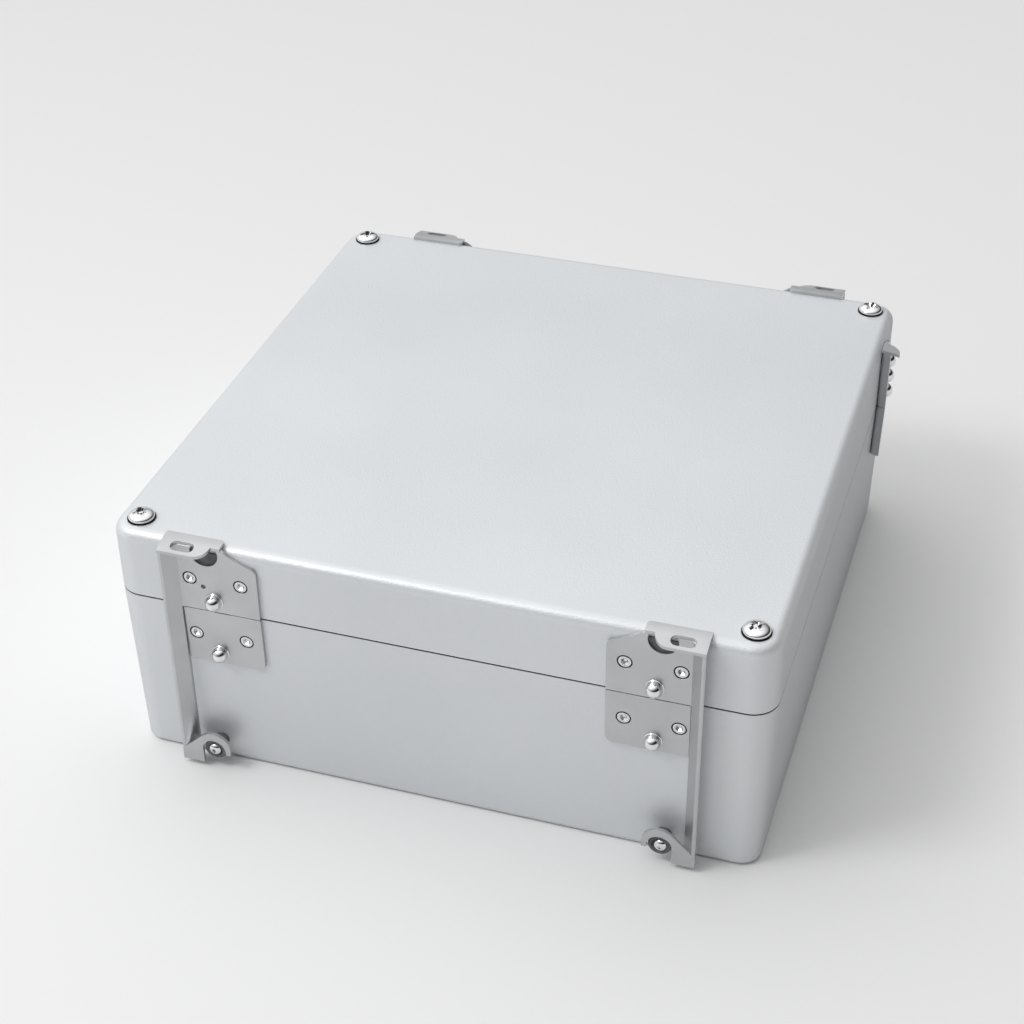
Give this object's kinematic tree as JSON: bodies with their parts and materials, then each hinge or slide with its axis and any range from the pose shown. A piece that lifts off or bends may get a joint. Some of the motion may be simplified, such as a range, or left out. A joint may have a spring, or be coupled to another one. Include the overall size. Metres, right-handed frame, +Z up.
{
  "type": "sheet metal enclosure",
  "caption": "Square silver sheet metal enclosure with a shallow lift-off lid, pan head screws in its corners and folded clamp straps with domed studs over the seam.",
  "frame": {"origin": "centre of the flat underside of the base, on the surface that the case stands on", "axes": "+Z up, the way the lid lifts off; -Y is the front, with two clamp straps; +X is the right side, with one strap near the back"},
  "size_m": [0.3088, 0.3168, 0.1266],
  "materials": {
    "case_metal": "fine textured silver-grey",
    "strap_steel": "satin",
    "bright_fastener": "polished",
    "zinc_fastener": "zinc plated",
    "machined_aluminium": "machined",
    "black_rubber": "matt"
  },
  "bodies": {
    "base": {"base_tray": "case_metal", "corner_posts": "machined_aluminium", "plate_bosses": "machined_aluminium", "earth_stud": "zinc_fastener", "earth_nut": "zinc_fastener", "lid_gasket": "black_rubber", "front_left_lower_leaf": "strap_steel", "front_right_lower_leaf": "strap_steel", "rear_left_lower_leaf": "strap_steel", "rear_right_lower_leaf": "strap_steel", "side_lower_leaf": "strap_steel", "lower_leaf_screws": "zinc_fastener", "lower_leaf_studs": "bright_fastener", "lower_leaf_nuts": "zinc_fastener", "lower_stud_nuts": "zinc_fastener", "foot_buffers": "black_rubber", "foot_bolts": "bright_fastener", "foot_nuts": "zinc_fastener"},
    "lid": {"lid": "case_metal", "lid_tubes": "machined_aluminium", "corner_screws": "bright_fastener", "corner_washers": "black_rubber", "front_left_strap": "strap_steel", "front_right_strap": "strap_steel", "rear_left_strap": "strap_steel", "rear_right_strap": "strap_steel", "side_strap": "strap_steel", "strap_screws": "zinc_fastener", "strap_studs": "bright_fastener", "strap_screw_nuts": "zinc_fastener", "strap_stud_nuts": "zinc_fastener"}
  },
  "joints": [
    {"name": "lid_lift", "type": "slide", "parent": "base", "child": "lid", "axis": [0, 0, 1], "range_m": [0, 0.12]}
  ]
}
